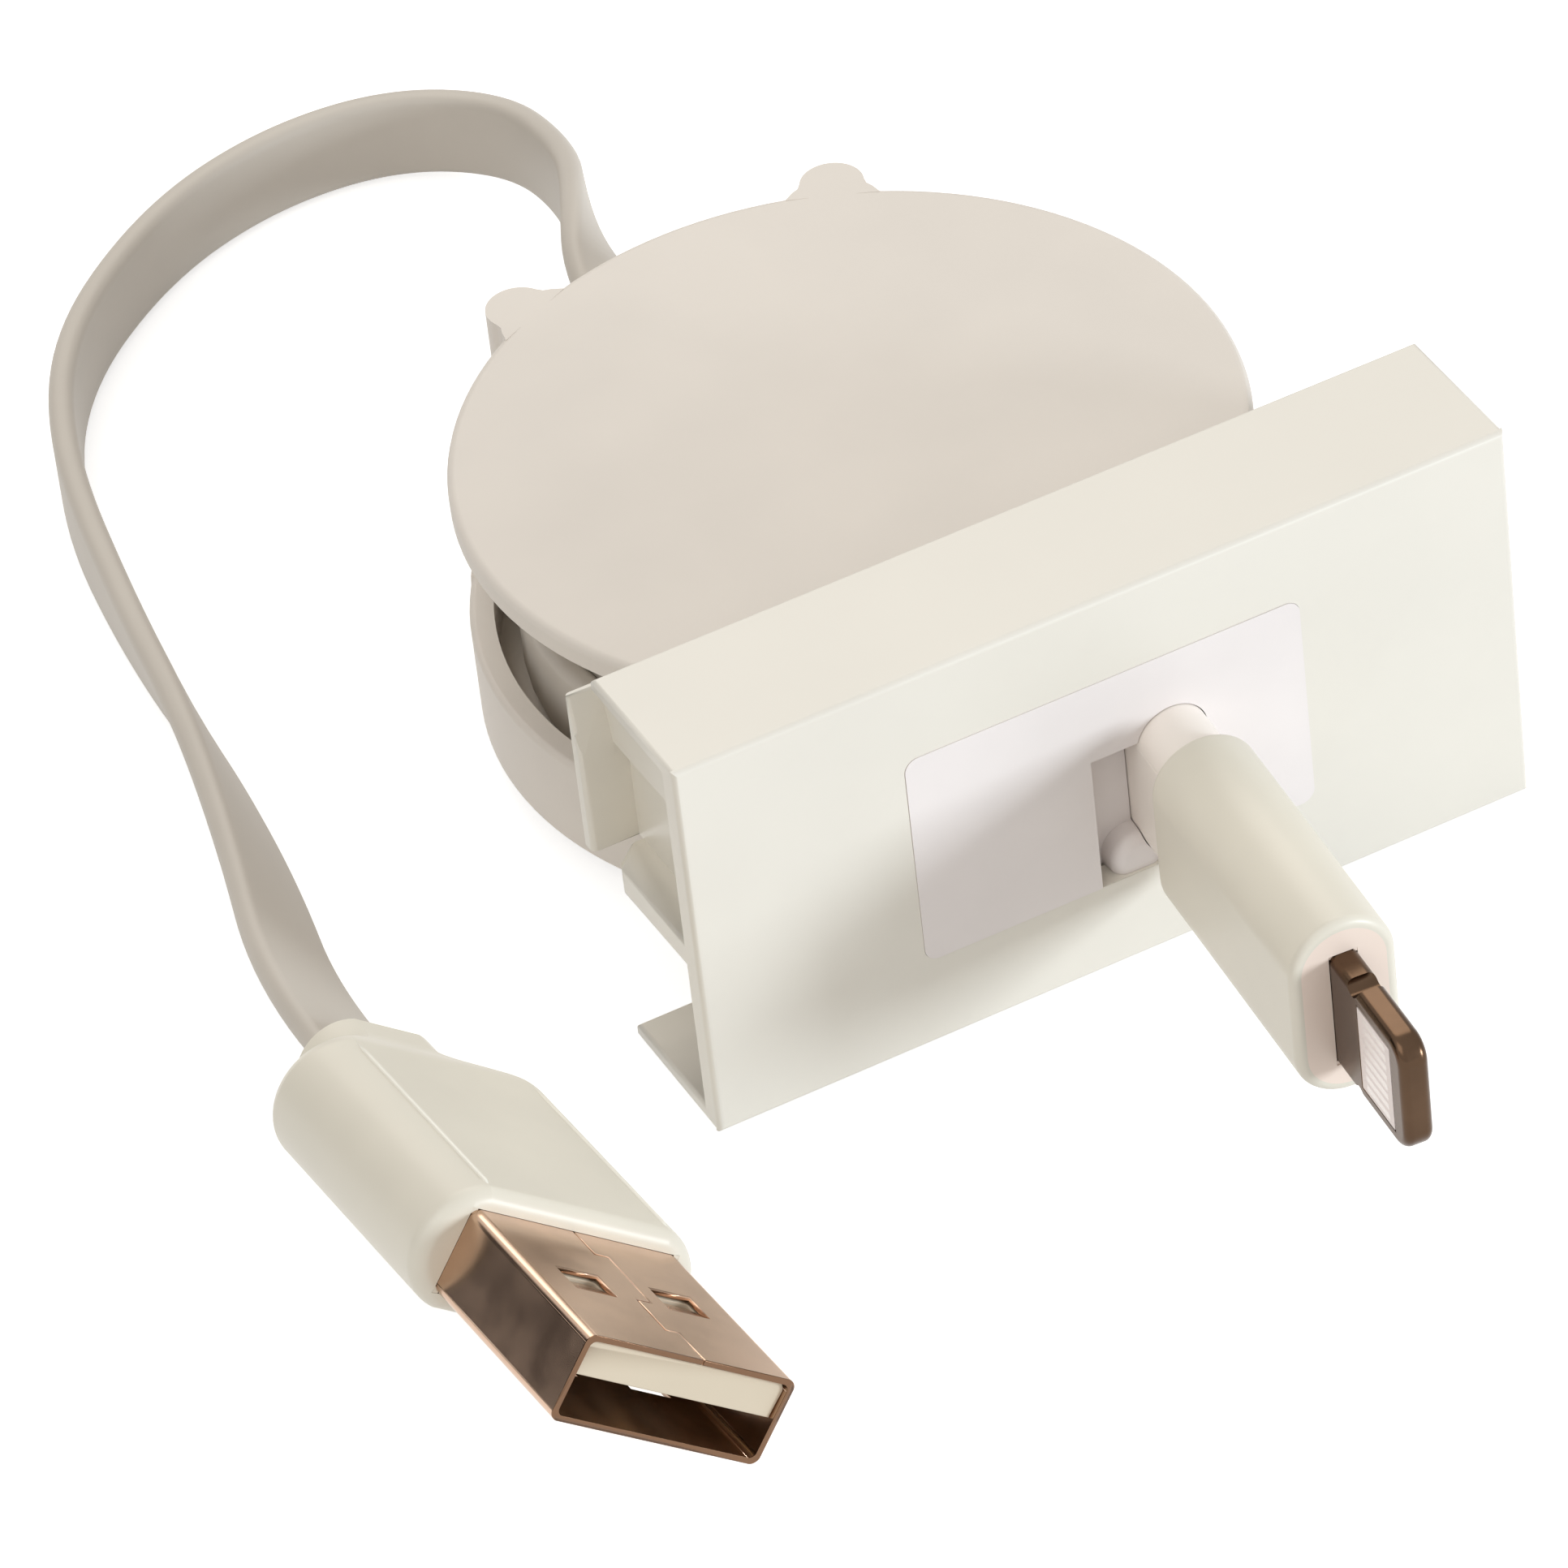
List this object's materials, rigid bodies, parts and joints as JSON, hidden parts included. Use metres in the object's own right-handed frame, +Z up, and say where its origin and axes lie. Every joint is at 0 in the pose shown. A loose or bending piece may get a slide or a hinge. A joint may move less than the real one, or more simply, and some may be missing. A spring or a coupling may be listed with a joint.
{
  "type": "retractable usb cable module",
  "caption": "Snap-in face panel with a spring reel behind it: a phone plug pulls out of the front on a flat ribbon, and a short flat lead ends in a usb plug.",
  "frame": {"origin": "middle of the face panel's underside", "axes": "+Z up, the panel's face looks along -Y, the reel lies behind it along +Y"},
  "size_m": [0.0667, 0.1052, 0.0225],
  "materials": {
    "panel_ivory": "satin moulded plastic",
    "reel_beige": "fine matt moulded plastic",
    "insert_pale": "satin moulded plastic",
    "boot_cream": "soft matt overmould",
    "ribbon_grey": "matt elastomer jacket",
    "shell_metal": "plated sheet metal",
    "blade_metal": "dark plated metal",
    "tongue_cream": "matt plastic",
    "contact_gold": "gold plated",
    "plate_grey": "matt plastic",
    "spool_white": "matt moulded plastic",
    "spring_steel": "blued strip"
  },
  "bodies": {
    "case": {"face_panel": "panel_ivory", "front_insert": "insert_pale", "reel_base": "reel_beige", "reel_cover": "reel_beige", "case_screws": "spring_steel", "power_spring": "spring_steel", "detent_ball": "spring_steel", "lead_winding": "ribbon_grey", "usb_boot": "boot_cream", "usb_shell": "shell_metal", "usb_tongue": "tongue_cream", "usb_contacts": "contact_gold", "lead_cord": "ribbon_grey"},
    "reel_spool": {"spool": "spool_white", "cable_roll": "ribbon_grey"},
    "phone_plug": {"lead_ribbon": "ribbon_grey", "plug_sleeve": "insert_pale", "plug_boot": "boot_cream", "plug_collar": "insert_pale", "plug_blade": "blade_metal", "contact_plate": "plate_grey", "plug_contacts": "contact_gold"}
  },
  "joints": [
    {"name": "plug_pull", "type": "slide", "parent": "case", "child": "phone_plug", "axis": [-0.0767, -0.9971, 0], "range_m": [0, 0.4], "stiffness_N_per_m": 0.6, "springref_m": -0.8},
    {"name": "spool_spin", "type": "hinge", "parent": "case", "child": "reel_spool", "pos_m": [0, 0.02165, 0], "axis": [0, 0, 1], "range_deg": [-1895, 0]}
  ],
  "couplings": [
    {"joint": "spool_spin", "follows": "plug_pull", "rad_per_m": -82.6}
  ]
}
